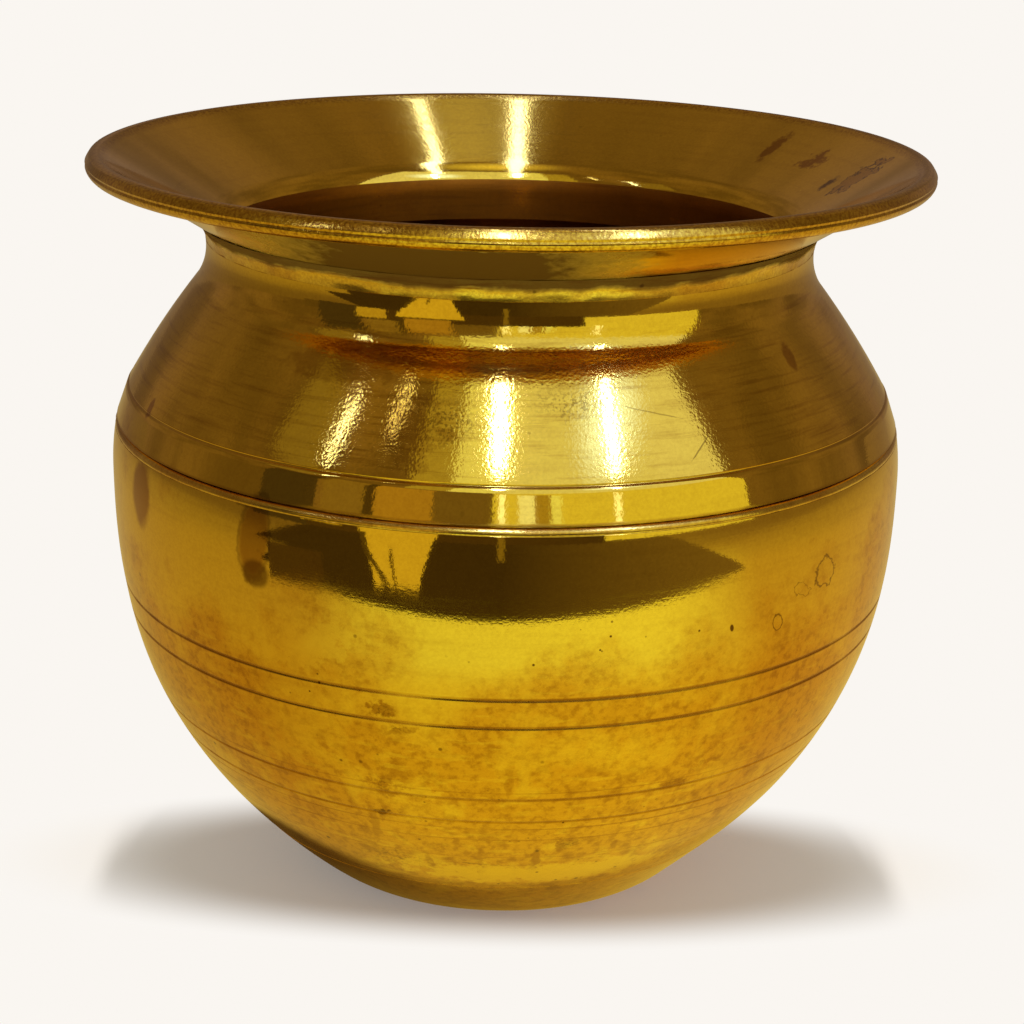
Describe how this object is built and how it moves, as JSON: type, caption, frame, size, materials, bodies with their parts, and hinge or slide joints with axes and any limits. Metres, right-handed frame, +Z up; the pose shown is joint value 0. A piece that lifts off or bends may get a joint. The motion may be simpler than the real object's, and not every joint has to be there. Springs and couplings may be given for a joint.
{
  "type": "lota water vessel",
  "caption": "Round-bellied brass lota with a narrow neck, a wide flared mouth with a rolled edge, and scribed lines round the body.",
  "frame": {"origin": "centre of the flat foot, on the surface that the vessel stands on", "axes": "+Z up along the vessel's axis, X and Y in the plane of the foot; the vessel is turned, so X and Y are alike"},
  "size_m": [0.1168, 0.1168, 0.1055],
  "materials": {
    "brass_sheet": "turned and polished, worn and stained",
    "brass_wire": "drawn",
    "braze_filler": "filed, with dirt in its pores"
  },
  "bodies": {
    "root": {"mouth_flange": "brass_sheet", "rim_wire": "brass_wire", "neck_braze": "braze_filler", "shoulder_shell": "brass_sheet", "belly_braze": "braze_filler", "bowl_shell": "brass_sheet", "base_braze": "braze_filler", "base_disc": "brass_sheet"}
  },
  "joints": []
}
